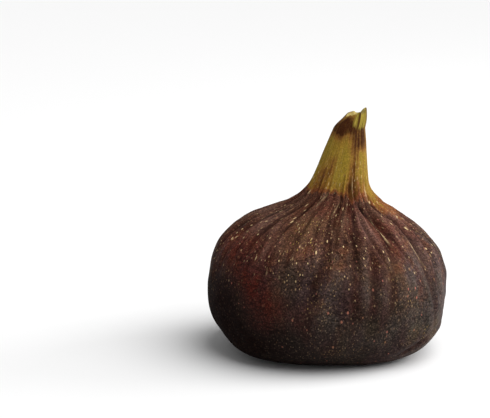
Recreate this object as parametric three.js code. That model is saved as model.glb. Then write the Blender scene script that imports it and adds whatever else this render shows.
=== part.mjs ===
// A fresh fig: a squat ribbed fruit that tapers through a leaning neck into a torn stalk end.
// Millimetres, +Z up. The fig stands on its blossom end, with the middle of its box at x = 0, y = 0.
// It grew as one piece, so it is one solid: a lathe of the mean outline, shaped vertex by vertex.
import * as THREE from "three";

// Driving dimensions
const HEIGHT = 62; // from the surface it stands on to the tip of the stalk's spur
const BODY_RADIUS = 30; // of the fruit at its widest
const DEPTH_SHARE = 0.965; // front-to-back size against side-to-side size
const FOOT_RADIUS = 15; // of the patch where the soft skin rests flat
const EYE_RADIUS = 3.4; // of the eye, the small opening in the blossom end
const EYE_DEPTH = 0.9;
const STALK_RADIUS = 2.5; // of the torn end of the stalk

// Mesh density
const SEGMENTS = 126; // round the fruit
const STEPS = 9; // along each curve of the outline

// Heights on the fruit, as shares of HEIGHT
const EQUATOR = 0.274;
const SHOULDER = 0.582;
const NECK = 0.7;
const COLLAR = 0.915;
const STALK_END = 0.972;

const degrees = THREE.MathUtils.degToRad;
const { smoothstep } = THREE.MathUtils;

// A bell-shaped bump: 1 in its middle, nearly 0 at twice its spread
const bell = (value, middle, spread) => Math.exp(-(((value - middle) / spread) ** 2));

// The shorter way round from one angle to another
const turn = (from, to) => Math.atan2(Math.sin(to - from), Math.cos(to - from));

// The mean outline from the middle of the eye, round the body and up the neck, to the middle of the stalk end.
function outline() {
  const path = new THREE.Path();
  path.moveTo(0, EYE_DEPTH);
  path.lineTo(0.5 * EYE_RADIUS, 0.9 * EYE_DEPTH);
  path.lineTo(0.85 * EYE_RADIUS, 0.45 * EYE_DEPTH);
  path.lineTo(EYE_RADIUS, 0);
  path.lineTo(FOOT_RADIUS, 0);
  const side = (radius, height) => [radius * BODY_RADIUS, height * HEIGHT];
  path.bezierCurveTo(...side(0.84, 0), ...side(1, 0.11), ...side(1, EQUATOR));
  path.bezierCurveTo(...side(1, 0.43), ...side(0.77, 0.515), ...side(0.52, SHOULDER));
  path.bezierCurveTo(...side(0.37, 0.613), ...side(0.275, 0.634), ...side(0.238, NECK));
  path.bezierCurveTo(...side(0.21, 0.758), ...side(0.165, 0.85), ...side(0.13, COLLAR));
  path.lineTo(...side(0.114, 0.95));
  path.lineTo(STALK_RADIUS, STALK_END * HEIGHT);
  path.lineTo(0.6 * STALK_RADIUS, (STALK_END - 0.008) * HEIGHT);
  path.lineTo(0, (STALK_END - 0.014) * HEIGHT);
  return path.getPoints(STEPS);
}

// How far the middle of the fruit stands to the right at a height: the body is upright and the neck leans.
function lean(share) {
  const sag = -0.5 * bell(share, 0.5, 0.08);
  const neckRoot = 2.5 * smoothstep(share, 0.56, 0.66);
  const neckTilt = 10.4 * Math.max(share - 0.66, 0);
  const stalkTilt = 16 * Math.max(share - COLLAR, 0);
  return sag + neckRoot + neckTilt + stalkTilt;
}

// Creases that run from neck to blossom end. at is the angle in degrees, where 0 is the right and -90 the front;
// slant moves the crease sideways along its length, and bow bends it where the shoulder meets the neck;
// low and high are the heights between which it runs.
const MAIN_CREASES = [
  { at: -54, slant: 6, bow: 5, depth: 1.15, width: 1.7, low: 0.22, high: 0.66 },
  { at: -77, slant: 8, bow: 4, depth: 0.75, width: 1.8, low: 0.18, high: 0.8 },
  { at: -34, slant: 4, bow: 3, depth: 0.75, width: 1.7, low: 0.14, high: 0.62 },
  { at: -15, slant: -12, bow: 0, depth: 0.65, width: 1.6, low: 0.16, high: 0.6 },
  { at: -101, slant: 26, bow: -4, depth: 0.6, width: 1.9, low: 0.22, high: 0.66 },
  { at: -124, slant: 6, bow: 0, depth: 0.6, width: 1.6, low: 0.42, high: 0.74 },
  { at: -150, slant: -14, bow: 4, depth: 0.7, width: 1.6, low: 0.4, high: 0.7 },
  { at: -171, slant: 10, bow: 0, depth: 0.75, width: 1.6, low: 0.4, high: 0.68 },
  { at: 163, slant: 0, bow: 6, depth: 0.8, width: 1.7, low: 0.2, high: 0.72 },
  { at: 139, slant: 8, bow: -5, depth: 0.95, width: 1.6, low: 0.16, high: 0.76 },
  { at: 112, slant: -10, bow: 6, depth: 0.7, width: 1.8, low: 0.25, high: 0.7 },
  { at: 84, slant: 6, bow: -8, depth: 1.05, width: 1.5, low: 0.15, high: 0.78 },
  { at: 60, slant: 0, bow: 5, depth: 0.7, width: 1.8, low: 0.22, high: 0.66 },
  { at: 35, slant: -8, bow: -4, depth: 0.85, width: 1.6, low: 0.18, high: 0.72 },
  { at: 12, slant: 10, bow: 2, depth: 0.65, width: 1.7, low: 0.3, high: 0.68 },
];

// Fine ribs of the neck and shoulder. Steps of the golden ratio spread their differences evenly.
const FINE_RIBS = 23;
const golden = (index, salt) => (index * 0.618034 + salt) % 1;
function fineRib(index) {
  return {
    at: ((index + 0.7 * golden(index, 0.13)) * 360) / FINE_RIBS,
    slant: 16 * (golden(index, 0.41) - 0.5),
    bow: 8 * (golden(index, 0.77) - 0.5),
    depth: 0.22 + 0.25 * golden(index, 0.29),
    width: 1.25 + 0.4 * golden(index, 0.59),
    low: 0.4 + 0.14 * golden(index, 0.91),
    high: 0.72 + 0.24 * golden(index, 0.05),
  };
}
const CREASES = [...MAIN_CREASES];
for (let index = 0; index < FINE_RIBS; index++) CREASES.push(fineRib(index));

// The depth of one crease at a place on the skin, with the small ridge that stands along both its sides.
function creaseDepth(crease, angle, share, radius) {
  const middle = crease.at + crease.slant * (share - 0.35) + crease.bow * bell(share, 0.54, 0.06);
  const spread = crease.width * Math.sqrt(Math.max(radius, 1) / BODY_RADIUS);
  const away = Math.abs(turn(degrees(middle), angle)) * radius;
  const fade = 0.06;
  const along =
    smoothstep(share, crease.low - fade, crease.low + fade) *
    (1 - smoothstep(share, crease.high - fade, crease.high + fade));
  return crease.depth * along * (bell(away, 0, spread) - 0.42 * bell(away, 2.3 * spread, 1.3 * spread));
}

// Broad unevenness of the body, as a share of the radius
function swell(angle, share) {
  const body = smoothstep(share, 0.03, 0.14) * (1 - smoothstep(share, 0.5, 0.64));
  const lobes =
    0.008 * Math.cos(2 * angle + 0.5) +
    0.007 * Math.cos(3 * angle - 1.2) +
    0.006 * Math.cos(5 * angle + 2 + 6 * share) +
    0.005 * Math.cos(8 * angle - 9 * share);
  const rightHip = 0.035 * bell(turn(degrees(-8), angle), 0, 0.6) * bell(share, 0.075, 0.06);
  const leftShoulder = 0.016 * bell(turn(Math.PI, angle), 0, 0.6) * bell(share, 0.46, 0.07);
  const leftWaist = -0.12 * bell(turn(Math.PI, angle), 0, 1) * bell(share, 0.592, 0.028);
  return body * lobes + rightHip + leftShoulder + leftWaist;
}

// The ragged rim of the stalk: a spur on its right side, two small teeth, and a left side cut lower.
function stalkRim(angle) {
  const spur = 1.5 * bell(turn(degrees(-8), angle), 0, 0.45);
  const tooth = 0.5 * bell(turn(degrees(-70), angle), 0, 0.3);
  const backTooth = 0.35 * bell(turn(degrees(120), angle), 0, 0.4);
  const cutSide = -0.8 * bell(turn(Math.PI, angle), 0, 0.9);
  return spur + tooth + backTooth + cutSide;
}

// Moves one point of the lathe to its place on the fig.
function shape(angle, radius, height) {
  const share = height / HEIGHT;
  const skin = smoothstep(share, 0.016, 0.055) * (1 - smoothstep(share, COLLAR, 0.955));
  let reach = radius * (1 + swell(angle, share));
  if (skin > 0) {
    for (const crease of CREASES) reach -= skin * creaseDepth(crease, angle, share, radius);
  }
  // The foot is squarer and shallower than the body.
  const low = (1 - smoothstep(share, 0, 0.2)) * smoothstep(radius, EYE_RADIUS, FOOT_RADIUS);
  const square = (Math.abs(Math.cos(angle)) ** 2.7 + Math.abs(Math.sin(angle)) ** 2.7) ** (-1 / 2.7);
  reach *= 1 + low * (square - 1);
  const depth = DEPTH_SHARE - 0.1 * low;
  const top = smoothstep(share, COLLAR, STALK_END) * smoothstep(radius, 0, STALK_RADIUS);
  return new THREE.Vector3(
    lean(share) + reach * Math.cos(angle),
    reach * Math.sin(angle) * depth,
    height + top * stalkRim(angle),
  );
}

// The lathe turns about Y, so each point is read there, shaped, and written with +Z up.
function figGeometry() {
  const geometry = new THREE.LatheGeometry(outline(), SEGMENTS);
  const points = geometry.getAttribute("position");
  const point = new THREE.Vector3();
  for (let index = 0; index < points.count; index++) {
    point.fromBufferAttribute(points, index);
    const radius = Math.hypot(point.x, point.z);
    const shaped = shape(Math.atan2(-point.z, point.x), radius, point.y);
    points.setXYZ(index, shaped.x, shaped.y, shaped.z);
  }
  geometry.computeBoundingBox();
  const middle = geometry.boundingBox.getCenter(new THREE.Vector3());
  geometry.translate(-middle.x, -middle.y, 0);
  geometry.computeVertexNormals();
  return geometry;
}

const skin = new THREE.MeshStandardMaterial({ color: 0x4b332d, roughness: 0.62, metalness: 0 });
const fig = new THREE.Mesh(figGeometry(), skin);
fig.name = "fig";

const part = new THREE.Group();
part.add(fig);

export default part;
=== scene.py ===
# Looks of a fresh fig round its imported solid: a fine skin, the scales in its eye, a pale floor and soft
# light.
import math

import bpy
import numpy as np
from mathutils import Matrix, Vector


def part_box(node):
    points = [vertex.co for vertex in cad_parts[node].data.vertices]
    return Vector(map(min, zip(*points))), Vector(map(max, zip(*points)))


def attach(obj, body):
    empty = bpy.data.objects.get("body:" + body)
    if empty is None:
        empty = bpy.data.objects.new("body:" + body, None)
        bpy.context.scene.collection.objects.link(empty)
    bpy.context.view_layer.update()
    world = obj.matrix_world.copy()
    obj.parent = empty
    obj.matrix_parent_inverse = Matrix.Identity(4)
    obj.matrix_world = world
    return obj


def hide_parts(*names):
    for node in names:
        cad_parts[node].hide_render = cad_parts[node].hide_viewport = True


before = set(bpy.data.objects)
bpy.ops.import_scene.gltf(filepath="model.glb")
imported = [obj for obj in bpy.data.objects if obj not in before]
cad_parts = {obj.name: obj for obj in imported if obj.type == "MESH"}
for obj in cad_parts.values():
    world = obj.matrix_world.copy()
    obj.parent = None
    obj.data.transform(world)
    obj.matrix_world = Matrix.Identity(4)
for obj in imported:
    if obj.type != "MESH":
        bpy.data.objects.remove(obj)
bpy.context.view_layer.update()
figLow, figHigh = (np.array(corner, dtype=float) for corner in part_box("fig"))
figSize = figHigh - figLow
print("loaded the frame: the fig is", np.round(figSize * 1000, 1), "mm")


# Small shaping curves, all on whole arrays

def smooth(value, start, end):
    # 0 before start, 1 after end, 3t^2 - 2t^3 between them
    t = np.clip((value - start) / (end - start), 0, 1)
    return t * t * (3 - 2 * t)


def bell(value, middle, spread):
    # exp(-((value - middle) / spread)^2)
    return np.exp(-(((value - middle) / spread) ** 2))


def turnFrom(angle, degrees):
    # the shorter way round from a direction in degrees to each angle, in radians
    away = angle - math.radians(degrees)
    return np.arctan2(np.sin(away), np.cos(away))


def facing(angle, degrees, spread):
    # a bell round the fruit: 1 in a direction in degrees, nearly 0 at twice its spread in radians
    return bell(turnFrom(angle, degrees), 0, spread)


# Random waves on the skin: (cells round the fruit, cell length in mm, seed)
skinWaves = {
    "sway": (24, 8.0, 13),
    "wideRibs": (58, 17.0, 11),
    "narrowRibs": (116, 11.0, 12),
    "broadDents": (15, 9.0, 21),
    "smallDents": (64, 2.6, 22),
    "wideGrooves": (34, 20.0, 14),
    "narrowGrooves": (70, 9.0, 15),
    "raggedRim": (34, 1.0, 5),
    "wander": (22, 5.0, 31),
    "streaks": (46, 16.0, 32),
    "threads": (130, 22.0, 36),
    "blush": (14, 12.0, 33),
    "bloomAndSheen": (16, 8.0, 34),
    "paintedShade": (12, 11.0, 35),
}


def skinNoise(angle, along, wave):
    # random numbers on a lattice that closes round the fruit, blended between its corners, from -1 to 1
    cellsRound, cellLength, seed = skinWaves[wave]
    rows = int(math.ceil(along.max() / cellLength)) + 3
    lattice = np.random.default_rng(seed).uniform(-1, 1, (rows, cellsRound))
    across = (angle / (2 * math.pi)) % 1 * cellsRound
    upward = along / cellLength
    left = np.floor(across).astype(int)
    low = np.floor(upward).astype(int)
    acrossPart = smooth(across - left, 0, 1)
    upPart = smooth(upward - low, 0, 1)
    left %= cellsRound
    right = (left + 1) % cellsRound
    lower = lattice[low, left] * (1 - acrossPart) + lattice[low, right] * acrossPart
    upper = lattice[low + 1, left] * (1 - acrossPart) + lattice[low + 1, right] * acrossPart
    return lower * (1 - upPart) + upper * upPart


# The skin of the fig, in millimetres until it is fitted to its box. Heights are shares of the whole height.

figSkin = {
    "columns": 440,
    "rows": 224,
    "bodyRadius": 30.0,
    "height": 62.0,
    "depthShare": 0.965,  # front to back against side to side
    "footRadius": 15.0,  # of the flat patch that the fruit rests on
    "footTop": 0.2,  # height up to which the foot squares and flattens the body
    "footCorners": 2.7,  # 2 is a round foot, more is a squarer one
    "footFlatter": 0.1,  # how much shallower the foot is than the body
    "eyeRadius": 3.4,
    "stalkRadius": 2.5,
    "collar": 0.915,  # where the neck ends and the torn stalk begins
    "stalkEnd": 0.972,
    "reliefStart": (14, 19),  # mm along the outline between which ribs, dents and creases begin
    "reliefEnd": (0.925, 0.965),  # heights between which they end
    "reliefInside": 2.6,  # nothing nearer the middle than this is raised or sunk
    "pathSoftening": 9,  # rows over which a bend in a crease is rounded
    "minorCreases": 44,
    "ribHeight": 0.85,
    "ribSway": 0.04,
    "broadDents": 0.4,
    "smallDents": 0.12,
    "wideGrooves": 0.28,
    "narrowGrooves": 0.12,
    "seed": 7,
}

# Cubic curves of the mean outline, from the eye to the middle of the stalk end: (share of radius, height)
outlineCurves = [
    ((0.0, 0.0145), (0.05, 0.0145), (0.095, 0.013), (0.113, 0.0)),
    ((0.113, 0.0), (0.2, 0.0), (0.4, 0.0), (0.5, 0.0)),
    ((0.5, 0.0), (0.84, 0.0), (1.0, 0.11), (1.0, 0.274)),
    ((1.0, 0.274), (1.0, 0.43), (0.77, 0.515), (0.52, 0.582)),
    ((0.52, 0.582), (0.37, 0.613), (0.275, 0.634), (0.238, 0.7)),
    ((0.238, 0.7), (0.21, 0.758), (0.165, 0.85), (0.13, 0.915)),
    ((0.13, 0.915), (0.12, 0.935), (0.105, 0.958), (0.083, 0.972)),
    ((0.083, 0.972), (0.07, 0.974), (0.035, 0.958), (0.0, 0.957)),
]
rowWeights = [0.8, 0.4, 0.85, 1.15, 1.3, 1.2, 3.0, 3.0]  # how closely the rows lie on each curve

# Creases: (width in mm on the body, ridge beside it against its depth, path). A path goes from low to high:
# (height, degrees round from the right, depth in mm). -90 is the front.
creases = [
    (1.35, 0.35, [(0.2, -62, 0.1), (0.3, -61, 0.5), (0.37, -60, 0.5), (0.45, -55, 0.5), (0.5, -51, 0.9),
                  (0.546, -48, 1.6), (0.592, -52, 1.6), (0.63, -60, 0.7), (0.69, -66, 0.05)]),
    (1.4, 0.35, [(0.16, -80, 0.1), (0.25, -80, 0.3), (0.37, -80, 0.4), (0.465, -77, 0.55),
                 (0.578, -69, 0.65), (0.67, -75, 0.5), (0.8, -68, 0.1)]),
    (1.2, 0.5, [(0.1, -30, 0.1), (0.215, -31, 0.4), (0.364, -35, 0.6), (0.474, -31, 0.8),
                (0.556, -25, 0.9), (0.62, -36, 0.5), (0.7, -42, 0.1)]),
    (1.0, 0.5, [(0.22, -26, 0.1), (0.374, -25, 0.6), (0.467, -22, 0.7), (0.54, -14, 0.5),
                (0.6, -14, 0.2)]),
    (1.0, 0.5, [(0.05, -54, 0.1), (0.081, -46, 0.6), (0.102, -41, 0.8), (0.125, -33, 0.7),
                (0.147, -22, 0.3), (0.155, -14, 0.05)]),
    (1.0, 0.5, [(0.38, -128, 0.1), (0.54, -126, 0.6), (0.575, -124, 0.8), (0.615, -127, 0.7),
                (0.7, -132, 0.2)]),
    (1.4, 0.4, [(0.12, -101, 0.1), (0.24, -102, 0.5), (0.388, -99, 0.7), (0.47, -93, 0.4),
                (0.55, -88, 0.4), (0.63, -86, 0.3), (0.74, -88, 0.15)]),
    (1.1, 0.5, [(0.16, -72, 0.1), (0.26, -72, 0.35), (0.4, -70, 0.6), (0.524, -63, 0.5),
                (0.58, -60, 0.2)]),
    (1.1, 0.6, [(0.4, -141, 0.1), (0.5, -142, 0.6), (0.57, -141, 0.8), (0.63, -142, 0.6),
                (0.72, -146, 0.2)]),
    (1.2, 0.6, [(0.38, -158, 0.1), (0.48, -160, 0.7), (0.56, -160, 0.9), (0.62, -158, 0.6),
                (0.7, -156, 0.2)]),
    (1.2, 0.5, [(0.36, -178, 0.1), (0.48, -177, 0.7), (0.57, -174, 0.8), (0.64, -172, 0.4),
                (0.7, -172, 0.1)]),
    (1.4, 0.5, [(0.18, 162, 0.1), (0.36, 164, 0.5), (0.5, 165, 0.7), (0.58, 168, 0.7), (0.74, 166, 0.2)]),
    (1.2, 0.4, [(0.12, 138, 0.1), (0.3, 139, 0.6), (0.48, 137, 0.8), (0.56, 134, 0.9), (0.62, 138, 0.5),
                (0.76, 140, 0.1)]),
    (1.6, 0.4, [(0.22, 111, 0.1), (0.4, 112, 0.5), (0.55, 115, 0.6), (0.68, 108, 0.2)]),
    (1.1, 0.4, [(0.12, 84, 0.1), (0.3, 83, 0.6), (0.48, 82, 0.8), (0.55, 77, 1.0), (0.61, 84, 0.6),
                (0.76, 88, 0.1)]),
    (1.5, 0.4, [(0.2, 60, 0.1), (0.36, 60, 0.5), (0.54, 64, 0.6), (0.66, 58, 0.2)]),
    (1.2, 0.5, [(0.14, 35, 0.1), (0.32, 36, 0.6), (0.5, 33, 0.7), (0.58, 29, 0.6), (0.7, 36, 0.1)]),
    (1.3, 0.5, [(0.26, 11, 0.1), (0.42, 12, 0.5), (0.55, 16, 0.6), (0.68, 12, 0.2)]),
]

# Paths of the long pale scars, with a strength in place of the depth
scars = [
    [(0.65, -65, 0.0), (0.66, -65.4, 0.7), (0.686, -66.7, 0.8), (0.7, -67.8, 0.5), (0.71, -68.2, 0.0)],
    [(0.505, -49.5, 0.0), (0.516, -49.3, 0.9), (0.551, -48.6, 0.9), (0.56, -48.4, 0.0)],
    [(0.42, -33.0, 0.0), (0.43, -33.3, 0.7), (0.461, -34.3, 0.8), (0.481, -33.5, 0.7), (0.49, -33.2, 0.0)],
    [(0.6, -91.5, 0.0), (0.61, -91.0, 0.3), (0.625, -88.8, 0.35), (0.635, -88.0, 0.0)],
    [(0.64, -119.5, 0.0), (0.647, -118.4, 0.4), (0.66, -112.7, 0.3), (0.67, -109.0, 0.0)],
    [(0.64, -36.6, 0.0), (0.65, -36.3, 0.6), (0.674, -35.7, 0.6), (0.69, -35.4, 0.0)],
    [(0.62, 74.0, 0.0), (0.635, 75.0, 0.8), (0.66, 76.0, 0.8), (0.675, 76.5, 0.0)],
    [(0.6, 128.0, 0.0), (0.61, 128.5, 0.7), (0.64, 130.0, 0.7), (0.65, 130.5, 0.0)],
    [(0.5, 46.0, 0.0), (0.51, 46.5, 0.7), (0.54, 47.5, 0.7), (0.55, 48.0, 0.0)],
]

# Soft-edged places on the skin: (degrees round, height, spread in degrees, spread in height, strength).
# The strength of a bump is its rise in mm.
patches = {
    "gold": [
        (-106, 0.56, 15, 0.045, 0.8), (-109, 0.505, 11, 0.04, 0.55), (-90, 0.46, 7, 0.035, 0.4),
        (-57, 0.4, 6, 0.06, 0.45), (-50, 0.3, 7, 0.05, 0.4), (-99, 0.29, 7, 0.035, 0.5),
        (-37, 0.14, 14, 0.05, 0.6), (-86, 0.1, 20, 0.035, 0.35), (128, 0.52, 12, 0.05, 0.7),
        (66, 0.44, 9, 0.05, 0.6), (24, 0.3, 12, 0.05, 0.5), (158, 0.26, 10, 0.05, 0.6),
        (96, 0.18, 12, 0.04, 0.6),
    ],
    "warm": [
        (-154, 0.475, 22, 0.055, 0.9), (-132, 0.45, 13, 0.05, 0.5), (-64, 0.59, 9, 0.05, 0.7),
        (-46, 0.49, 7, 0.05, 0.35), (-20, 0.54, 28, 0.05, 0.6), (44, 0.5, 14, 0.05, 0.6),
        (108, 0.46, 14, 0.06, 0.6), (150, 0.5, 10, 0.05, 0.5),
    ],
    "ember": [
        (-156, 0.42, 13, 0.05, 0.5), (-135, 0.39, 10, 0.05, 0.8), (-127, 0.32, 12, 0.07, 0.7),
        (-119, 0.26, 12, 0.06, 0.55), (-127, 0.19, 11, 0.05, 0.65), (-82, 0.3, 4, 0.07, 0.15),
        (84, 0.3, 13, 0.07, 0.5), (12, 0.22, 12, 0.05, 0.4),
    ],
    "slate": [
        (-90, 0.24, 4, 0.05, 0.35), (-94, 0.37, 8, 0.04, 0.4), (-72, 0.36, 6, 0.06, 0.35),
        (136, 0.34, 14, 0.07, 0.6), (52, 0.28, 10, 0.07, 0.6), (-40, 0.19, 14, 0.08, 0.8),
    ],
    "mauve": [
        (178, 0.57, 24, 0.03, 0.8), (-144, 0.555, 13, 0.035, 0.8), (-124, 0.51, 8, 0.03, 0.4),
        (-20, 0.56, 15, 0.035, 0.7), (-26, 0.44, 12, 0.08, 0.5), (-38, 0.51, 9, 0.03, 0.5),
        (-62, 0.57, 6, 0.06, 1.3), (-12, 0.585, 22, 0.025, 0.8), (100, 0.55, 14, 0.04, 0.7),
        (20, 0.48, 12, 0.05, 0.5),
    ],
    "shadow": [
        (-108, 0.4, 11, 0.03, 0.25), (-149, 0.25, 15, 0.13, 0.9), (-134, 0.1, 20, 0.06, 0.9),
        (-83, 0.33, 4, 0.06, 0.45), (-76, 0.24, 6, 0.05, 0.4), (160, 0.12, 26, 0.06, 0.6),
        (70, 0.1, 20, 0.05, 0.5),
    ],
    "bump": [
        (-112, 0.49, 12, 0.04, 0.6), (-109, 0.4, 11, 0.03, -0.3), (-88, 0.36, 7, 0.04, 0.25),
        (-58, 0.38, 5, 0.06, 0.25), (-40, 0.2, 12, 0.05, 0.4), (-84, 0.24, 5, 0.06, 0.35),
        (-75, 0.22, 4, 0.06, -0.3), (120, 0.45, 11, 0.05, 0.5), (75, 0.4, 8, 0.04, -0.4),
        (30, 0.42, 10, 0.05, 0.4),
    ],
}


def patchField(kind, angle, share):
    # the sum of strength * bell(angle) * bell(height) over the places of one kind
    field = np.zeros_like(angle)
    for degrees, middle, turnSpread, shareSpread, strength in patches[kind]:
        turned = facing(angle, degrees, math.radians(turnSpread))
        field += strength * turned * bell(share, middle, shareSpread)
    return field


def minorCreases():
    # shallow creases of the shoulder and neck, evenly turned with a little seeded scatter
    chance = np.random.default_rng(figSkin["seed"])
    count = figSkin["minorCreases"]
    made = []
    for step in range(count):
        turn = (step + chance.uniform(-0.36, 0.36)) * 360 / count
        sway = chance.uniform(-7, 7)
        low = chance.uniform(0.34, 0.5)
        top = chance.uniform(0.64, 0.8)
        depth = chance.uniform(0.2, 0.6)
        width = chance.uniform(0.4, 0.75)
        path = [(low, turn + sway, 0.02), (low + 0.08, turn + 0.6 * sway, depth),
                (0.6, turn, 1.15 * depth), (top, turn - 0.4 * sway, 0.04)]
        made.append((width, 0.7, path))
    return made


def outline():
    # each curve is (1-t)^3 a + 3(1-t)^2 t b + 3(1-t)t^2 c + t^3 d; the rows are spread along them by weight
    t = np.linspace(0, 1, 300)[:, None]
    pieces = []
    weights = []
    for curve, weight in zip(outlineCurves, rowWeights):
        a, b, c, d = (np.array(corner) for corner in curve)
        piece = (1 - t) ** 3 * a + 3 * (1 - t) ** 2 * t * b + 3 * (1 - t) * t * t * c + t ** 3 * d
        pieces.append(piece * (figSkin["bodyRadius"], figSkin["height"]))
        weights.append(np.full(len(piece), weight))
    points = np.concatenate(pieces)
    steps = np.hypot(*np.diff(points, axis=0).T)
    length = np.concatenate([[0], np.cumsum(steps)])
    measure = np.concatenate([[0], np.cumsum(steps * np.concatenate(weights)[1:])])
    wanted = np.linspace(0, measure[-1], figSkin["rows"])
    along = np.interp(wanted, measure, length)
    return np.interp(along, length, points[:, 0]), np.interp(along, length, points[:, 1]), along


def lean(share):
    # how far the middle stands to the right: a slight sag, a step at the neck's root, then a steady tilt
    neckStart = 0.66
    sag = -0.5 * bell(share, 0.5, 0.08)
    neckRoot = 2.5 * smooth(share, 0.56, neckStart)
    neckTilt = 10.4 * np.maximum(share - neckStart, 0)
    stalkTilt = 16 * np.maximum(share - figSkin["collar"], 0)
    return sag + neckRoot + neckTilt + stalkTilt


def swell(angle, share):
    # shares of the radius: four low waves round the body, then bells for a fuller right hip, a fuller left
    # shoulder and a pinched left waist
    body = smooth(share, 0.03, 0.14) * (1 - smooth(share, 0.5, 0.64))
    lobes = (0.008 * np.cos(2 * angle + 0.5) + 0.007 * np.cos(3 * angle - 1.2)
             + 0.006 * np.cos(5 * angle + 2 + 6 * share) + 0.005 * np.cos(8 * angle - 9 * share))
    rightHip = 0.03 * facing(angle, -8, 0.7) * bell(share, 0.07, 0.075)
    leftShoulder = 0.016 * facing(angle, 180, 0.6) * bell(share, 0.46, 0.07)
    leftWaist = -0.12 * facing(angle, 180, 1) * bell(share, 0.592, 0.028)
    return body * lobes + rightHip + leftShoulder + leftWaist


def besidePath(path, angle, share, radius, along):
    # the path's depth in each row, and how far each point lies from it, in mm, measured square to it
    reach = figSkin["pathSoftening"]
    kernel = bell(np.arange(-reach, reach + 1), 0, reach / 2)
    kernel /= kernel.sum()
    rowShare = share[:, 0]
    rowRadius = np.maximum(radius[:, 0], 1)
    rowAlong = along[:, 0] + 1e-6 * np.arange(len(along))  # always rising, for the slope
    onSkin = (rowAlong > figSkin["reliefStart"][0]) * (rowShare < 0.95)
    shares, turns, depths = (np.array(column, dtype=float) for column in zip(*path))
    rowTurn = np.interp(rowShare, shares, np.unwrap(np.radians(turns)))
    rowTurn = np.convolve(np.pad(rowTurn, reach, mode="edge"), kernel, mode="valid")
    rowDepth = np.interp(rowShare, shares, depths, left=0, right=0) * onSkin
    rowDepth = np.convolve(np.pad(rowDepth, reach, mode="edge"), kernel, mode="valid")
    slope = np.gradient(rowTurn, rowAlong) * rowRadius
    turned = np.arctan2(np.sin(angle - rowTurn[:, None]), np.cos(angle - rowTurn[:, None]))
    away = np.abs(turned) * (rowRadius / np.sqrt(1 + slope ** 2))[:, None]
    return rowDepth[:, None], away


def creaseField(angle, share, radius, along):
    # each crease sinks by depth * (bell(away) - lip * bell(away beside it)), and narrows towards the neck
    sink = np.zeros_like(angle)
    mark = np.zeros_like(angle)
    narrowing = np.sqrt(np.maximum(radius, 1) / figSkin["bodyRadius"]) ** 0.8
    for width, lip, path in creases + minorCreases():
        depth, away = besidePath(path, angle, share, radius, along)
        away = away / (width * narrowing)
        valley = bell(away, 0, 1)
        sink += depth * (valley - lip * bell(away, 2.2, 1.2))
        mark = np.maximum(mark, np.clip(depth, 0, 1) * valley)
    return sink, mark


def scarField(angle, share, radius, along):
    # strength * bell(away), on the pale scars
    scar = np.zeros_like(angle)
    for path in scars:
        strength, away = besidePath(path, angle, share, radius, along)
        scar = np.maximum(scar, strength * bell(away, 0, 0.2))
    return scar


def peelMask(angle, share, along):
    # on the right of the stalk the skin is torn back to green fibres, above a ragged line:
    # smooth(side) * smooth(height)
    tear = 0.925 - 0.02 * facing(angle, -50, 0.3) + 0.02 * skinNoise(angle, along, "streaks")
    side = np.clip(1.4 * facing(angle, -30, 0.85) ** 0.5, 0, 1)
    return smooth(side, 0.35, 0.95) * smooth(share, tear - 0.02, tear + 0.02)


def stalkRim(angle):
    # the torn rim is a sum of bells: a tall spur on the right, small teeth, a lower left side, and a fine
    # ragged edge
    spur = 1.5 * facing(angle, -8, 0.38)
    teeth = 0.5 * facing(angle, -70, 0.22) + 0.35 * facing(angle, 120, 0.4)
    lowSide = -0.8 * facing(angle, 180, 0.9)
    ragged = 0.16 * skinNoise(angle, np.zeros_like(angle), "raggedRim")
    return spur + teeth + lowSide + ragged


def skinRelief(angle, share, along, radius):
    # how far the skin stands out: ribs, broad and small dents, and the listed bumps. The ribs are
    # about the root of |noise|: round pillows between sharp valleys that wander up the skin
    swayed = angle + figSkin["ribSway"] * skinNoise(angle, along, "sway")
    wide = np.abs(skinNoise(swayed, along, "wideRibs")) ** 0.55
    narrow = np.abs(skinNoise(swayed, along, "narrowRibs")) ** 0.6
    ribs = 0.6 * wide + 0.4 * narrow
    ribRise = 0.09 + 0.91 * smooth(share, 0.32, 0.52) * (1 - 0.6 * smooth(share, 0.62, 0.7))
    ribRise = ribRise * (1 - 0.45 * facing(angle, -94, 0.35))
    fine = figSkin["ribHeight"] * ribRise * (ribs - 0.6) * np.clip(radius / 12, 0.4, 1)
    broad = figSkin["broadDents"] * skinNoise(angle, along, "broadDents")
    broad = broad * (1 - smooth(share, 0.55, 0.7))
    small = figSkin["smallDents"] * skinNoise(angle, along, "smallDents")
    small = small * (1 - 0.6 * smooth(share, 0.6, 0.7))
    return fine + broad + small + patchField("bump", angle, share), ribs


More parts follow.
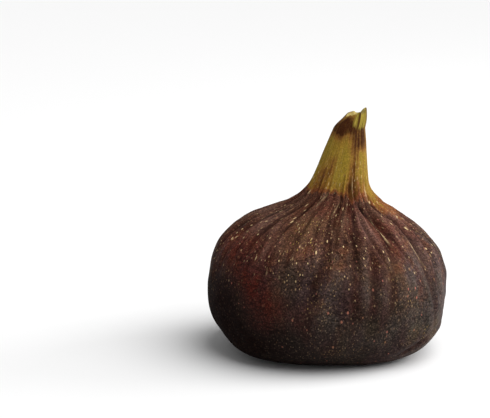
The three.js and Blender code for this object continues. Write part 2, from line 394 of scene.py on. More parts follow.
def figSurface():
    # the outline turned round the middle: x = lean + reach * cos(angle), y = depth * reach * sin(angle),
    # z = height + rim. The reach is radius * (1 + swell) + relief - creases, and at the foot it is
    # multiplied by (|cos|^n + |sin|^n)^(-1/n), which squares a circle
    radius, height, along = (values[:, None] for values in outline())
    angle = np.linspace(0, 2 * math.pi, figSkin["columns"], endpoint=False)[None, :] + 0 * radius
    radius = radius + 0 * angle
    height = height + 0 * angle
    along = along + 0 * angle
    share = height / figSkin["height"]
    outer = smooth(along, *figSkin["reliefStart"]) * (1 - smooth(share, *figSkin["reliefEnd"]))
    outer = outer * (radius > figSkin["reliefInside"])

    sink, mark = creaseField(angle, share, radius, along)
    relief, ribs = skinRelief(angle, share, along, radius)
    reach = radius * (1 + swell(angle, share)) + outer * (relief - sink)
    grooves = figSkin["wideGrooves"] * skinNoise(angle, along, "wideGrooves")
    grooves = grooves + figSkin["narrowGrooves"] * skinNoise(angle, along, "narrowGrooves")
    reach = reach + grooves * peelMask(angle, share, along) * smooth(radius, 2.0, 2.6)

    low = 1 - smooth(share, 0, figSkin["footTop"])
    low = low * smooth(radius, figSkin["eyeRadius"], figSkin["footRadius"])
    corners = figSkin["footCorners"]
    square = (np.abs(np.cos(angle)) ** corners + np.abs(np.sin(angle)) ** corners) ** (-1 / corners)
    reach = reach * (1 + low * (square - 1))
    depth = figSkin["depthShare"] - figSkin["footFlatter"] * low
    top = smooth(share, figSkin["collar"], figSkin["stalkEnd"]) * smooth(radius, 0, figSkin["stalkRadius"])
    highest = share[:, 0] == share[:, 0].max()
    cutFace = (along > along[highest][0, 0]).astype(float)

    x = lean(share) + reach * np.cos(angle)
    y = reach * np.sin(angle) * depth
    z = height + top * stalkRim(angle)
    fields = {"angle": angle, "share": share, "along": along, "mark": mark, "cutFace": cutFace,
              "ribs": ribs, "scar": scarField(angle, share, radius, along)}
    return np.stack([x, y, z], axis=-1), fields


def poled(grid):
    # the inner rows one after another, then the means of the first row and of the last row
    inner = grid[1:-1].reshape(-1, *grid.shape[2:])
    return np.concatenate([inner, grid[0].mean(0)[None], grid[-1].mean(0)[None]])


def closeGrid(points):
    # quads between neighbouring rows, which close round the fruit; the first and the last row shrink to one
    # point each, and a fan of triangles closes the surface there
    rows, columns = points.shape[:2]
    index = np.arange((rows - 2) * columns).reshape(rows - 2, columns)
    beside = np.roll(index, -1, axis=1)
    quads = np.stack([index[:-1], beside[:-1], beside[1:], index[1:]], axis=-1).reshape(-1, 4)
    bottom = np.stack([beside[0], index[0], np.full(columns, index.size)], axis=-1)
    top = np.stack([index[-1], beside[-1], np.full(columns, index.size + 1)], axis=-1)
    return poled(points), quads.tolist() + bottom.tolist() + top.tolist()


def addPiece(name, vertices, faces):
    mesh = bpy.data.meshes.new(name)
    mesh.from_pydata(vertices.tolist(), [], faces)
    mesh.update()
    mesh.shade_smooth()
    piece = bpy.data.objects.new(name, mesh)
    bpy.context.scene.collection.objects.link(piece)
    return piece


def addField(mesh, name, values):
    # one number or one vector for each point
    kind, slot = ("FLOAT", "value") if values.ndim == 1 else ("FLOAT_VECTOR", "vector")
    attribute = mesh.attributes.new(name, kind, "POINT")
    attribute.data.foreach_set(slot, values.astype(np.float32).ravel())


points, fields = figSurface()
modelPoints = points.reshape(-1, 3)
modelLow = modelPoints.min(0)
modelScale = figSize / (modelPoints.max(0) - modelLow)


def fitted(points):
    # from the millimetres that the surfaces are worked out in to metres in the fig's box
    return (points - modelLow) * modelScale + figLow


vertices, faces = closeGrid(fitted(points))
skin = addPiece("figSkin", vertices, faces)
print("made the skin:", len(faces), "faces")


# Pointed scales that close the eye underneath, in two rings, rooted in the flesh. They are in millimetres,
# and are fitted like the skin.

eyeScales = {
    "rings": [
        {"count": 9, "root": 3.05, "tip": 0.8, "rootHeight": 0.62, "tipHeight": 0.24, "halfWidth": 1.05,
         "turn": 0.1},
        {"count": 6, "root": 1.9, "tip": 0.15, "rootHeight": 0.74, "tipHeight": 0.38, "halfWidth": 0.85,
         "turn": 0.45},
    ],
    "thickness": 0.13,
    "arch": 0.1,
    "twist": 0.1,
    "scatter": 0.15,
    "rows": 12,
    "columns": 14,
    "seed": 8,
}


def scaleSurface(ring, turn):
    # flat ellipses strung on an arched line that runs inwards; their width is (1 - u^1.8)^0.8, a point at
    # the tip
    u = np.linspace(0, 1, eyeScales["rows"])[:, None]
    around = np.linspace(0, 2 * math.pi, eyeScales["columns"], endpoint=False)[None, :]
    side = (1 - u ** 1.8) ** 0.8 * np.cos(around)
    away = ring["root"] + (ring["tip"] - ring["root"]) * u + 0 * around
    height = ring["rootHeight"] + (ring["tipHeight"] - ring["rootHeight"]) * u
    height = height - eyeScales["arch"] * np.sin(math.pi * u) + eyeScales["twist"] * side
    height = height - eyeScales["thickness"] * (1 - 0.7 * u) * np.sin(around)
    across = ring["halfWidth"] * side
    x = away * math.cos(turn) - across * math.sin(turn)
    y = away * math.sin(turn) + across * math.cos(turn)
    return np.stack([x, y, height], axis=-1), u + 0 * around


scaleVertices = []
scaleFaces = []
scaleTips = []
chance = np.random.default_rng(eyeScales["seed"])
for ring in eyeScales["rings"]:
    for step in range(ring["count"]):
        scattered = step + chance.uniform(-eyeScales["scatter"], eyeScales["scatter"])
        surface, tips = scaleSurface(ring, ring["turn"] + scattered * 2 * math.pi / ring["count"])
        shell, sides = closeGrid(fitted(surface))
        start = sum(len(made) for made in scaleVertices)
        scaleFaces += [[start + corner for corner in face] for face in sides]
        scaleVertices.append(shell)
        scaleTips.append(poled(tips))
scales = addPiece("eyeScales", np.concatenate(scaleVertices), scaleFaces)
addField(scales.data, "tip", np.concatenate(scaleTips))
print("made the eye:", len(scaleTips), "scales")


# Where the skin is ripe, stained, blushed, bloomy or peeled, and where shade is painted, from 0 to 1 at
# each point

def ripeMask(angle, share, wander, streaks, threads):
    # the dark skin is below a wavy edge, which is lower on the right, where it fades in slowly
    right = facing(angle, -8, 0.6)
    edge = 0.684 - 0.082 * right - 0.026 * facing(angle, -64, 0.35)
    edge += 0.01 * wander + 0.016 * streaks + 0.008 * threads
    softness = 0.016 + 0.055 * right
    return 1 - smooth(share, edge - softness, edge + softness)


def stainMask(angle, share, wander, streaks, threads):
    # purple-brown stains of the neck are a sum of bells: a stripe that is broad at its top and foot, a
    # slanting band on the left, a patch under the rim, and fainter ones behind
    stripe = 1.15 * facing(angle, -46, 0.48) * smooth(share, 0.81, 0.87)
    stripe += 0.42 * facing(angle, -66, 0.2)
    stripe += 0.6 * facing(angle, -66, 0.4) * (1 - smooth(share, 0.66, 0.74))
    slant = turnFrom(angle, -123) + 3.2 * np.clip(0.805 - share, 0, 0.08)
    band = bell(slant, 0, 0.26) * (1 - smooth(share, 0.74, 0.83))
    under = facing(angle, -122, 0.75) * bell(share, 0.926, 0.033)
    under += 0.9 * facing(angle, 120, 0.9) * bell(share, 0.93, 0.035)
    behind = np.clip(streaks + 0.4 * wander, 0, 1) * facing(angle, 90, 1.3)
    stain = 0.95 * stripe + 0.5 * band * (1 + 0.5 * threads) + 1.9 * under + 0.7 * behind
    return np.clip(stain * (1 + 0.3 * threads + 0.2 * wander), 0, 1)


def skinMasks():
    angle, share, along, mark = (fields[name] for name in ("angle", "share", "along", "mark"))
    wander, streaks, threads = (skinNoise(angle, along, wave) for wave in ("wander", "streaks", "threads"))
    kinds = ("gold", "warm", "ember", "slate", "mauve", "shadow")
    gold, warm, ember, slate, mauve, shadow = (patchField(kind, angle, share) for kind in kinds)
    # red shows on the shoulders, on the left flank and in the soft valleys
    flank = np.clip(ember, 0, 1)
    blush = warm + 0.25 * skinNoise(angle, along, "blush") + 0.35 * mark
    # the waxy bloom, greyer and thicker on the right, where it is also a painted sheen on the lit side
    sided = 0.4 + 0.6 * facing(angle, -18, 0.9)
    bloomAndSheen = smooth(share, 0.01, 0.06) * (1 - smooth(share, 0.36 + 0.1 * sided, 0.5 + 0.13 * sided))
    bloomAndSheen = bloomAndSheen * sided * (0.8 + 0.5 * skinNoise(angle, along, "bloomAndSheen")) - 0.5 * mark
    # painted shade: the skin is made nearly black underneath, and darker at the lower front and the lower
    # left, where the light doesn't reach
    shaded = facing(angle, -160, 0.8)
    low = 1 - smooth(share - 0.12 * shaded, 0.0, 0.3)
    front = facing(angle, -110, 0.8) * (1 - smooth(share + 0.03 * wander, 0.3, 0.6))
    paintedShade = 0.85 * low * (1 - 0.75 * facing(angle, -28, 0.65)) + 0.42 * front
    paintedShade += 0.25 * skinNoise(angle, along, "paintedShade") * low
    paintedShade -= 0.3 * slate + 0.3 * gold + 0.35 * flank
    # painted shadow: near black on the lower left flank and in the shadow places, less on the red flank
    left = shaded * (1 - smooth(share + 0.06 * wander, 0.1, 0.56))
    paintedShadow = (0.96 * left + 0.5 * shadow) * (1 - 0.45 * flank)
    return {"ripe": ripeMask(angle, share, wander, streaks, threads),
            "stain": stainMask(angle, share, wander, streaks, threads),
            "blush": np.clip(blush, 0, 1), "gold": gold, "slate": slate, "mauve": mauve,
            "bloomAndSheen": np.clip(bloomAndSheen, 0, 1), "peel": peelMask(angle, share, along),
            "paintedShade": np.clip(paintedShade, 0, 1), "paintedShadow": np.clip(paintedShadow, 0, 1), "flank": flank, "mark": mark,
            "cutFace": fields["cutFace"], "rib": fields["ribs"], "scar": fields["scar"]}


skinMarks = skinMasks()
for name, values in skinMarks.items():
    addField(skin.data, name, poled(values))

# Skin coordinates: round a cylinder of the body's own radius, and up along the outline, so that patterns
# close round the fruit and stretch as the skin does
bodyRadius = figSize[0] / 2
flow = np.stack([bodyRadius * np.cos(fields["angle"]), bodyRadius * np.sin(fields["angle"]),
                 fields["along"] / 1000], axis=-1)
addField(skin.data, "flow", poled(flow))
print("marked the ripe, stained, blushed and bloomy skin")


# Materials

def paint(red, green, blue):
    # a screen colour out of 255 as linear light
    return tuple((((c / 255) + 0.055) / 1.055) ** 2.4 if c > 10 else c / 255 / 12.92
                 for c in (red, green, blue)) + (1.0,)


screenColours = {
    "purple": (46, 33, 30),
    "brown": (86, 57, 44),
    "red": (108, 46, 32),
    "ember": (72, 23, 13),
    "valleyShade": (30, 13, 10),
    "gloom": (15, 8, 7),
    "paintedShade": (23, 19, 17),
    "paintedShadow": (15, 5, 4),
    "mauve": (114, 84, 74),
    "moss": (60, 54, 40),
    "plum": (62, 44, 46),
    "rust": (92, 52, 32),
    "bloomAndSheen": (74, 67, 62),
    "gold": (104, 78, 50),
    "slate": (60, 59, 53),
    "dust": (108, 96, 82),
    "ridge": (124, 100, 84),
    "olive": (142, 111, 40),
    "green": (130, 112, 38),
    "straw": (172, 146, 74),
    "bark": (98, 60, 28),
    "russet": (120, 64, 38),
    "stain": (54, 20, 12),
    "cream": (226, 196, 146),
    "pink": (172, 104, 88),
    "tan": (136, 98, 70),
    "peel": (152, 134, 54),
    "groove": (72, 44, 20),
    "cut": (190, 172, 106),
}
figPaint = {name: paint(*colour) for name, colour in screenColours.items()}

# How far each paint covers the ones before it, at the most
figCover = {
    "brown": 0.9, "gloom": 0.4, "gold": 0.6, "slate": 0.6, "moss": 0.55, "plum": 0.5, "rust": 0.5,
    "ridge": 0.26, "valley": 0.65, "paintedShade": 0.88, "paintedShadow": 0.88, "strawThreads": 0.45, "barkThreads": 0.4,
    "barkStreaks": 0.55, "russetFoot": 0.45, "stain": 0.95, "folds": 0.6, "dust": 0.75, "dots": 0.85,
    "strawFibres": 0.5, "peelGrooves": 0.8,
}

# Noise patterns: (cells per metre, detail, roughness)
figPatterns = {
    "cloud": (150, 5, 0.62),
    "mottle": (330, 4, 0.6),
    "haze": (210, 5, 0.65),
    "golden": (130, 4, 0.65),
    "slaty": (160, 4, 0.65),
    "tint": (95, 4, 0.6),
    "rusty": (165, 4, 0.6),
    "neckTone": (60, 3, 0.5),
    "streaks": (330, 5, 0.7),
    "threads": (640, 4, 0.75),
    "blotches": (620, 4, 0.65),
    "creaseBreaks": (420, 4, 0.7),
    "folds": (520, 3, 0.5),
    "foldPlaces": (75, 2, 0.5),
    "grain": (2000, 2, 0.6),
    "fineGrain": (3900, 2, 0.6),
    "grainPlaces": (110, 3, 0.5),
    "speckPlaces": (60, 3, 0.6),
    "scarBreaks": (1200, 2, 0.5),
    "fibres": (150, 3, 0.6),
    "paleFibres": (260, 3, 0.6),
    "tear": (130, 3, 0.65),
    "cutMarks": (800, 3, 0.6),
    "micro": (1500, 3, 0.6),
    "wrinkles": (420, 4, 0.6),
    "scaleStreaks": (2400, 4, 0.6),
}

# Flecks: cells per metre, length against width, size against a cell, share of the cells that have one
figFlecks = {
    "grains": {"Scale": 1900, "Stretch": 1.5, "Size": 0.3, "Share": 0.75},
    "specks": {"Scale": 1050, "Stretch": 1.6, "Size": 0.215, "Share": 0.8},
    "dots": {"Scale": 600, "Stretch": 1.5, "Size": 0.15, "Share": 0.6},
    "longFlecks": {"Scale": 680, "Stretch": 2.6, "Size": 0.17, "Share": 0.95},
}

figFinish = {
    "roughness": (0.5, 0.66),
    "paintedShadowRoughness": 0.3,
    "ior": 1.42,
    "gloss": 0.035,
    "sheen": 0.003,
    "sheenRoughness": 0.5,
    "sheenTint": (0.95, 0.9, 0.86, 1.0),
    "bumpStrength": 0.65,
    "bumpHeight": 0.0003,
}

scaleFinish = {
    "roughness": 0.6,
    "gloss": 0.2,
    "bumpStrength": 0.4,
    "bumpHeight": 0.0001,
}


def addNode(tree, kind, inputs=None, **settings):
    made = tree.nodes.new(kind)
    for name, value in settings.items():
        setattr(made, name, value)
    for name, value in (inputs or {}).items():
        if isinstance(value, bpy.types.NodeSocket):
            tree.links.new(value, made.inputs[name])
        else:
            made.inputs[name].default_value = value
    return made


def mixed(tree, factor, first, second, blend="MIX"):
    inputs = {0: factor, 6: first, 7: second}
    return addNode(tree, "ShaderNodeMix", inputs, data_type="RGBA", blend_type=blend).outputs[2]


def worked(tree, operation, first, second=0.0, clamp=False):
    made = addNode(tree, "ShaderNodeMath", {0: first, 1: second}, operation=operation, use_clamp=clamp)
    return made.outputs[0]


def plus(tree, first, second, clamp=False):
    return worked(tree, "ADD", first, second, clamp)


def minus(tree, first, second):
    return worked(tree, "SUBTRACT", first, second)


def times(tree, first, *factors, clamp=False):
    # the product of all, where clamp holds only the last step to 0..1
    product = first
    for factor in factors[:-1]:
        product = worked(tree, "MULTIPLY", product, factor)
    return worked(tree, "MULTIPLY", product, factors[-1], clamp)


def painted(tree, under, name, *amounts):
    # one paint over the colours before it, as far as the product of the amounts
    amount = times(tree, *amounts) if len(amounts) > 1 else amounts[0]
    return mixed(tree, amount, under, figPaint[name])


def ranged(tree, value, low, high, newLow=0.0, newHigh=1.0):
    # low to high becomes newLow to newHigh, and stays within them
    made = addNode(tree, "ShaderNodeMapRange", {"Value": value, "From Min": low, "From Max": high,
                                               "To Min": newLow, "To Max": newHigh})
    return made.outputs["Result"]


def border(tree, mask):
    # largest, a quarter, where a mask is half way
    return times(tree, mask, minus(tree, 1.0, mask))


def read(tree, name, output="Fac"):
    return addNode(tree, "ShaderNodeAttribute", attribute_name=name).outputs[output]


def stretched(tree, vector, across, upward):
    # a place multiplied level and upright: a pattern that reads it is stretched by one over those
    factors = (across, across, upward)
    return addNode(tree, "ShaderNodeVectorMath", {0: vector, 1: factors}, operation="MULTIPLY").outputs[0]


def noise(tree, vector, name):
    scale, detail, rough = figPatterns[name]
    made = addNode(tree, "ShaderNodeTexNoise", {"Vector": vector, "Scale": scale, "Detail": detail,
                                                "Roughness": rough})
    return made.outputs["Fac"]


def pattern(tree, vector, name, *limits):
    # a noise whose middle values are spread over the limits
    return ranged(tree, noise(tree, vector, name), *limits)


def fleckGroup():
    # scattered flecks: near the random point of each stretched cell, inside a size that varies by cell
    group = bpy.data.node_groups.new("fleckScatter", "ShaderNodeTree")
    group.interface.new_socket("Vector", in_out="INPUT", socket_type="NodeSocketVector")
    for name in ("Scale", "Stretch", "Size", "Share"):
        group.interface.new_socket(name, in_out="INPUT", socket_type="NodeSocketFloat")
    for name in ("Mask", "Tone"):
        group.interface.new_socket(name, in_out="OUTPUT", socket_type="NodeSocketFloat")
    given = group.nodes.new("NodeGroupInput").outputs
    squeeze = worked(group, "DIVIDE", 1.0, given["Stretch"])
    factors = addNode(group, "ShaderNodeCombineXYZ", {"X": 1.0, "Y": 1.0, "Z": squeeze}).outputs[0]
    place = addNode(group, "ShaderNodeVectorMath", {0: given["Vector"], 1: factors}, operation="MULTIPLY")
    cells = addNode(group, "ShaderNodeTexVoronoi", {"Vector": place.outputs[0], "Scale": given["Scale"]})
    parts = addNode(group, "ShaderNodeSeparateColor", {"Color": cells.outputs["Color"]}).outputs
    size = times(group, given["Size"], ranged(group, parts["Green"], 0.0, 1.0, 0.5, 1.3))
    inner = times(group, size, 0.55)
    near = ranged(group, cells.outputs["Distance"], inner, size, 1.0, 0.0)
    shown = worked(group, "LESS_THAN", parts["Red"], given["Share"])
    mask = times(group, near, shown, clamp=True)
    addNode(group, "NodeGroupOutput", {"Mask": mask, "Tone": parts["Blue"]})
    return group


fleckScatter = fleckGroup()


def flecks(tree, vector, kind):
    # where the flecks of one kind are, and a tone from 0 to 1 for each of them
    made = addNode(tree, "ShaderNodeGroup", {"Vector": vector, **figFlecks[kind]}, node_tree=fleckScatter)
    return made.outputs["Mask"], made.outputs["Tone"]


def newMaterial(name):
    material = bpy.data.materials.new(name)
    material.use_nodes = True
    material.node_tree.nodes.clear()
    return material, material.node_tree


def readSkin(tree):
    # what the paint goes by: the marks, the place, the place along the skin, the height, a cloudy pattern
    on = {name: read(tree, name) for name in skinMarks}
    on["place"] = addNode(tree, "ShaderNodeTexCoord").outputs["Object"]
    on["flow"] = read(tree, "flow", "Vector")
    on["tall"] = stretched(tree, on["flow"], 1.0, 0.5)
    height = addNode(tree, "ShaderNodeSeparateXYZ", {"Vector": on["place"]}).outputs["Z"]
    on["rise"] = ranged(tree, height, figLow[2], figHigh[2])
    on["cloud"] = pattern(tree, on["tall"], "cloud", 0.36, 0.64)
    return on


def bodyColour(tree, on):
    # purple-brown, browner on the shoulder, mottled with red, gold and grey, with painted highlights on the
    # rib tops and painted shade in the rib valleys
    flow, tall, rise, cloud = (on[name] for name in ("flow", "tall", "rise", "cloud"))
    mottle = pattern(tree, tall, "mottle", 0.4, 0.64)
    upper = ranged(tree, rise, 0.34, 0.52)
    lower = ranged(tree, rise, 0.52, 0.4, 0.3, 1.0)
    body = mixed(tree, times(tree, upper, figCover["brown"]), figPaint["purple"], figPaint["brown"])
    redness = times(tree, on["blush"], ranged(tree, cloud, 0, 1, 0.45, 1.1), clamp=True)
    redMottle = times(tree, mottle, ranged(tree, upper, 0, 1, 0.1, 0.24))
    body = painted(tree, body, "red", plus(tree, redness, redMottle, clamp=True))
    body = painted(tree, body, "gloom", cloud, figCover["gloom"])
    haze = pattern(tree, tall, "haze", 0.4, 0.62, 0.15, 1.0)
    # the waxy bloom, with painted sheen on the lit right side
    body = painted(tree, body, "bloomAndSheen", on["bloomAndSheen"], haze)
    golden = pattern(tree, flow, "golden", 0.42, 0.62, 0.25, 1.0)
    body = painted(tree, body, "gold", on["gold"], golden, figCover["gold"])
    slaty = pattern(tree, tall, "slaty", 0.4, 0.6, 0.3, 1.0)
    body = painted(tree, body, "slate", on["slate"], slaty, figCover["slate"])
    hazy = ranged(tree, cloud, 0, 1, 0.8, 0.35)
    body = painted(tree, body, "mauve", times(tree, on["mauve"], hazy, clamp=True))
    tint = noise(tree, tall, "tint")
    mossy = ranged(tree, tint, 0.5, 0.64, 0.0, figCover["moss"])
    body = painted(tree, body, "moss", mossy, lower)
    plum = ranged(tree, tint, 0.5, 0.38, 0.0, figCover["plum"])
    body = painted(tree, body, "plum", plum, lower)
    rusty = pattern(tree, flow, "rusty", 0.54, 0.66, 0.0, figCover["rust"])
    body = painted(tree, body, "rust", rusty, ranged(tree, rise, 0.15, 0.4))
    # painted highlight on the rib tops of the upper body
    ridge = times(tree, ranged(tree, on["rib"], 0.62, 0.9), times(tree, upper, figCover["ridge"]))
    body = painted(tree, body, "ridge", ridge)
    # painted shade in the rib valleys
    deepest = ranged(tree, rise, 0.32, 0.52, 0.1, figCover["valley"])
    body = painted(tree, body, "valleyShade", ranged(tree, on["rib"], 0.5, 0.2), deepest)
    glow = times(tree, on["flank"], ranged(tree, cloud, 0, 1, 1.1, 0.45), clamp=True)
    body = painted(tree, body, "ember", glow)
    # painted shade underneath and on the lower front and left
    body = painted(tree, body, "paintedShade", on["paintedShade"], figCover["paintedShade"])
    # painted shadow on the lower left flank
    return painted(tree, body, "paintedShadow", on["paintedShadow"], figCover["paintedShadow"])


def neckColour(tree, on, streak, thread, frayed):
    # olive and green with thin straw and bark streaks along it, russet at its foot, and purple-brown stains
    tone = pattern(tree, on["flow"], "neckTone", 0.35, 0.65)
    neck = mixed(tree, tone, figPaint["olive"], figPaint["green"])
    neck = painted(tree, neck, "straw", ranged(tree, thread, 0.48, 0.34, 0.0, figCover["strawThreads"]))
    neck = painted(tree, neck, "bark", ranged(tree, thread, 0.54, 0.68, 0.0, figCover["barkThreads"]))
    neck = painted(tree, neck, "bark", ranged(tree, streak, 0.52, 0.68, 0.0, figCover["barkStreaks"]))
    russet = ranged(tree, on["rise"], 0.74, 0.62, 0.0, figCover["russetFoot"])
    neck = painted(tree, neck, "russet", russet, ranged(tree, streak, 0.4, 0.6, 0.4, 1.2))
    stained = plus(tree, on["stain"], times(tree, frayed, ranged(tree, on["stain"], 0.0, 0.4)))
    neck = painted(tree, neck, "russet", times(tree, border(tree, stained), 2.4, clamp=True))
    return painted(tree, neck, "stain", ranged(tree, stained, 0.2, 0.95, 0.0, figCover["stain"]))


def skinColour(tree, on, streak, thread):
    # the body below and the neck above a frayed russet border, with painted shade in the creases
    frayed = minus(tree, plus(tree, streak, times(tree, thread, 0.5)), 0.75)
    blotch = minus(tree, noise(tree, on["place"], "blotches"), 0.5)
    frayed = plus(tree, frayed, times(tree, blotch, 1.2))
    body = bodyColour(tree, on)
    neck = neckColour(tree, on, streak, thread, frayed)
    ripened = times(tree, frayed, ranged(tree, border(tree, on["ripe"]), 0.0, 0.2))
    ripened = ranged(tree, plus(tree, on["ripe"], ripened), 0.1, 0.9)
    colour = mixed(tree, ripened, neck, body)
    colour = painted(tree, colour, "russet", border(tree, ripened), 2.4)
    # painted shade: the creases darkened, less on the neck
    sunk = times(tree, worked(tree, "POWER", on["mark"], 1.3), ranged(tree, on["ripe"], 0, 1, 0.25, 1.0))
    broken = pattern(tree, on["flow"], "creaseBreaks", 0.36, 0.56, 0.65, 1.0)
    return painted(tree, colour, "gloom", sunk, broken)


def skinFolds(tree, on):
    # small wrinkles across the skin in places: thin lines where a noise stretched sideways is half way
    across = noise(tree, stretched(tree, on["flow"], 0.5, 1.3), "folds")
    folds = worked(tree, "ABSOLUTE", minus(tree, across, 0.5))
    folds = times(tree, ranged(tree, folds, 0.0, 0.05, 1.0, 0.0), ranged(tree, on["rise"], 0.56, 0.46))
    return times(tree, folds, pattern(tree, on["flow"], "foldPlaces", 0.43, 0.57))


def grainedColour(tree, on, colour):
    # grain that multiplies the colour, and fades on the neck and in the creases
    grain = plus(tree, noise(tree, on["place"], "grain"), noise(tree, on["place"], "fineGrain"))
    strength = ranged(tree, on["ripe"], 0, 1, 0.3, 1.0)
    strength = times(tree, strength, ranged(tree, on["mark"], 0.2, 0.8, 1.0, 0.35))
    factor = ranged(tree, grain, 0.92, 1.3, 0.7, 2.5)
    shade = addNode(tree, "ShaderNodeCombineXYZ", {"X": factor, "Y": factor, "Z": factor}).outputs[0]
    return mixed(tree, strength, colour, shade, "MULTIPLY")


def fleckedColour(tree, on, colour):
    # fine grains, small specks, round dots, long flecks and scars; all but the scars fade in the painted
    # shade and shadow, on the red flank and in the creases
    flow, rise, gold = on["flow"], on["rise"], on["gold"]
    shown = ranged(tree, rise, 0.1, 0.5, 0.8, 1.0)
    for name, low, high, least in (("flank", 0.1, 0.6, 0.3), ("paintedShade", 0.5, 1, 0.7), ("paintedShadow", 0.4, 1, 0.3),
                                   ("mark", 0.3, 0.9, 0.3)):
        shown = times(tree, shown, ranged(tree, on[name], low, high, 1.0, least))
    belowNeck = times(tree, shown, ranged(tree, rise, 0.72, 0.84, 1.0, 0.15))

    grains, tone = flecks(tree, flow, "grains")
    patchy = pattern(tree, flow, "grainPlaces", 0.38, 0.62, 0.55, 1.15)
    fade = times(tree, shown, ranged(tree, on["ripe"], 0, 1, 0.3, 1.0))
    fade = times(tree, patchy, times(tree, fade, ranged(tree, gold, 0.1, 0.6, 0.8, 1.3)))
    dusty = times(tree, ranged(tree, rise, 0.45, 0.2, 0.0, figCover["dust"]), ranged(tree, gold, 0.6, 0.1))
    sparkle = times(tree, ranged(tree, gold, 0.2, 0.7), ranged(tree, tone, 0.4, 0.8))
    grainColour = mixed(tree, tone, figPaint["gold"], figPaint["tan"])
    grainColour = painted(tree, grainColour, "dust", dusty)
    grainColour = painted(tree, grainColour, "straw", sparkle)
    colour = mixed(tree, times(tree, grains, fade, clamp=True), colour, grainColour)

    specks, tone = flecks(tree, flow, "specks")
    clustered = pattern(tree, on["tall"], "speckPlaces", 0.4, 0.6, 0.5, 1.1)
    fade = times(tree, belowNeck, ranged(tree, rise, 0.25, 0.5, 0.3, 1.1), clustered)
    creamy = times(tree, ranged(tree, tone, 0.2, 0.9), ranged(tree, rise, 0.2, 0.45, 0.35, 1.0))
    speckColour = mixed(tree, creamy, figPaint["tan"], figPaint["cream"])
    colour = mixed(tree, times(tree, specks, fade), colour, speckColour)

    dots, tone = flecks(tree, flow, "dots")
    dotColour = mixed(tree, ranged(tree, tone, 0.3, 0.9), figPaint["pink"], figPaint["tan"])
    dots = times(tree, dots, times(tree, belowNeck, figCover["dots"]))
    colour = mixed(tree, dots, colour, dotColour)

    longFlecks, tone = flecks(tree, flow, "longFlecks")
    fade = times(tree, belowNeck, ranged(tree, rise, 0.38, 0.5), ranged(tree, tone, 0.0, 0.3, 0.35, 1.0))
    fleckColour = mixed(tree, ranged(tree, tone, 0.0, 0.6), figPaint["tan"], figPaint["cream"])
    longFlecks = times(tree, longFlecks, fade)
    colour = mixed(tree, longFlecks, colour, fleckColour)

    broken = pattern(tree, on["place"], "scarBreaks", 0.35, 0.55, 0.4, 1.1)
    colour = painted(tree, colour, "cream", times(tree, on["scar"], broken, clamp=True))
    return colour, dots, longFlecks


def tornColour(tree, on, colour, streak):
    # torn end: green fibres with painted shade in the grooves between them where the skin is peeled back,
    # cream on the cut face
    fibre = stretched(tree, on["flow"], 1.0, 0.1)
    # painted shade: the groove colour darkens between the fibres
    peeled = mixed(tree, pattern(tree, fibre, "fibres", 0.46, 0.55), figPaint["peel"],
                   figPaint["groove"])
    pale = pattern(tree, fibre, "paleFibres", 0.53, 0.62, 0.0, figCover["strawFibres"])
    peeled = painted(tree, peeled, "straw", pale)
    peeled = painted(tree, peeled, "groove", ranged(tree, streak, 0.52, 0.62, 0.0, figCover["peelGrooves"]))
    ragged = minus(tree, noise(tree, fibre, "tear"), 0.5)
    tornEdge = times(tree, ragged, border(tree, on["peel"]), 9.0)
    tornAway = ranged(tree, plus(tree, on["peel"], tornEdge), 0.25, 0.85)
    colour = mixed(tree, tornAway, colour, peeled)
    marked = pattern(tree, on["place"], "cutMarks", 0.38, 0.6, 0.45, 1.0)
    return painted(tree, colour, "cut", on["cutFace"], marked)


def skinBump(tree, on, folds, dots, longFlecks):
    # a fine unevenness with sunken folds and slightly raised dots and flecks
    micro = noise(tree, on["place"], "micro")
    wrinkles = noise(tree, on["tall"], "wrinkles")
    relief = plus(tree, times(tree, micro, 0.5), times(tree, wrinkles, 0.5))
    relief = minus(tree, relief, times(tree, folds, 0.5))
    relief = plus(tree, relief, times(tree, longFlecks, 0.2))
    relief = plus(tree, relief, times(tree, dots, 0.12))
    return addNode(tree, "ShaderNodeBump", {"Strength": figFinish["bumpStrength"],
                                            "Distance": figFinish["bumpHeight"], "Height": relief})


def figMaterial():
    material, tree = newMaterial("figSkin")
    on = readSkin(tree)
    lines = stretched(tree, on["flow"], 1.0, 0.09)
    streak = noise(tree, lines, "streaks")
    thread = noise(tree, lines, "threads")
    folds = skinFolds(tree, on)
    colour = skinColour(tree, on, streak, thread)
    # painted shade in the small wrinkles
    colour = painted(tree, colour, "gloom", folds, figCover["folds"])
    colour = grainedColour(tree, on, colour)
    colour, dots, longFlecks = fleckedColour(tree, on, colour)
    colour = tornColour(tree, on, colour, streak)
    matt = ranged(tree, on["cloud"], 0, 1, *figFinish["roughness"])
    # the skin is rougher where the shadow is painted
    roughness = plus(tree, matt, times(tree, on["paintedShadow"], figFinish["paintedShadowRoughness"]))
    bump = skinBump(tree, on, folds, dots, longFlecks)
    shader = addNode(tree, "ShaderNodeBsdfPrincipled", {
        "Base Color": colour, "Roughness": roughness, "Normal": bump.outputs["Normal"],
        "IOR": figFinish["ior"], "Specular IOR Level": figFinish["gloss"],
        "Sheen Weight": figFinish["sheen"], "Sheen Roughness": figFinish["sheenRoughness"],
        "Sheen Tint": figFinish["sheenTint"]})
    addNode(tree, "ShaderNodeOutputMaterial", {"Surface": shader.outputs[0]})
    return material


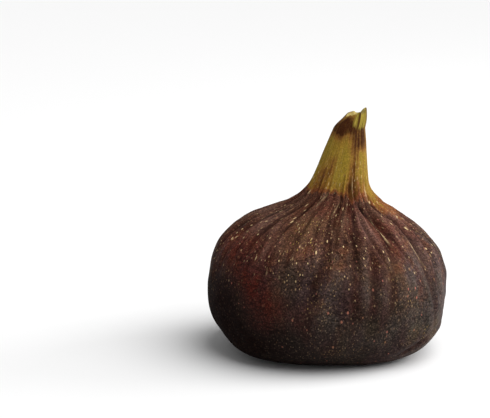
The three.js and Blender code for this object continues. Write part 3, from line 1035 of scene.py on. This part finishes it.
def eyeMaterial():
    # dark at the root, tan towards the tip, streaked
    material, tree = newMaterial("eyeScales")
    place = addNode(tree, "ShaderNodeTexCoord").outputs["Object"]
    streaked = noise(tree, place, "scaleStreaks")
    tan = ranged(tree, plus(tree, read(tree, "tip"), times(tree, streaked, 0.8)), 0.5, 1.5)
    colour = mixed(tree, tan, figPaint["stain"], figPaint["tan"])
    bump = addNode(tree, "ShaderNodeBump", {"Strength": scaleFinish["bumpStrength"],
                                            "Distance": scaleFinish["bumpHeight"], "Height": streaked})
    shader = addNode(tree, "ShaderNodeBsdfPrincipled", {
        "Base Color": colour, "Roughness": scaleFinish["roughness"], "Normal": bump.outputs["Normal"],
        "Specular IOR Level": scaleFinish["gloss"]})
    addNode(tree, "ShaderNodeOutputMaterial", {"Surface": shader.outputs[0]})
    return material


skin.data.materials.append(figMaterial())
scales.data.materials.append(eyeMaterial())
for piece in (skin, scales):
    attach(piece, "root")
    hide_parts("fig")
print("painted the skin and the scales")


# Floor, light and camera

studio = {
    "floorRadius": 3.0,
    "floorCorners": 96,
    "floorColour": (0.9, 0.9, 0.9, 1.0),
    "floorRoughness": 0.9,
    "floorGloss": 0.1,
    "worldColour": (1.0, 1.0, 1.0, 1.0),
    "worldStrength": 0.3,
    "lights": [
        {"name": "keyLight", "kind": "SUN", "at": (0.45, -0.25, 0.85), "size": 65.0, "power": 2.8},
        {"name": "sideLight", "kind": "AREA", "at": (0.5, 0.1, 0.2), "size": 0.35, "power": 1.6},
    ],
    "lightAim": (0.0, 0.0, 0.5),  # shares of the fig's size
    "cameraAim": (-0.3436, 0.0, 0.5845),  # shares of the fig's size
    "elevation": 12.0,
    "distance": 0.45,
    "lens": 132.2,
}

turns = np.linspace(0, 2 * math.pi, studio["floorCorners"], endpoint=False)
rim = np.stack([np.cos(turns), np.sin(turns), np.zeros_like(turns)], axis=-1) * studio["floorRadius"]
floor = addPiece("floor", rim, [list(range(len(rim)))])
floorMaterial = bpy.data.materials.new("paleFloor")
floorMaterial.use_nodes = True
floorShader = floorMaterial.node_tree.nodes["Principled BSDF"]
floorShader.inputs["Base Color"].default_value = studio["floorColour"]
floorShader.inputs["Roughness"].default_value = studio["floorRoughness"]
floorShader.inputs["Specular IOR Level"].default_value = studio["floorGloss"]
floor.data.materials.append(floorMaterial)

world = bpy.data.worlds.new("studio")
world.use_nodes = True
sky = world.node_tree.nodes["Background"]
sky.inputs["Color"].default_value = studio["worldColour"]
sky.inputs["Strength"].default_value = studio["worldStrength"]
bpy.context.scene.world = world
bpy.context.scene.view_settings.view_transform = "Standard"

litPlace = Vector(np.array(studio["lightAim"]) * figSize)
for lamp in studio["lights"]:
    data = bpy.data.lights.new(lamp["name"], lamp["kind"])
    if lamp["kind"] == "SUN":
        data.angle = math.radians(lamp["size"])
    else:
        data.shape = "DISK"
        data.size = lamp["size"]
    data.energy = lamp["power"]
    light = bpy.data.objects.new(lamp["name"], data)
    bpy.context.scene.collection.objects.link(light)
    light.location = lamp["at"]
    light.rotation_euler = (light.location - litPlace).to_track_quat("Z", "Y").to_euler()

elevation = math.radians(studio["elevation"])
aim = np.array(studio["cameraAim"]) * figSize
lens = bpy.data.cameras.new("camera")
lens.lens = studio["lens"]
camera = bpy.data.objects.new("camera", lens)
bpy.context.scene.collection.objects.link(camera)
camera.location = aim + studio["distance"] * np.array([0.0, -math.cos(elevation), math.sin(elevation)])
camera.rotation_euler = (math.pi / 2 - elevation, 0.0, 0.0)
bpy.context.scene.camera = camera
print("set the floor, the light and the camera")

bpy.context.view_layer.update()
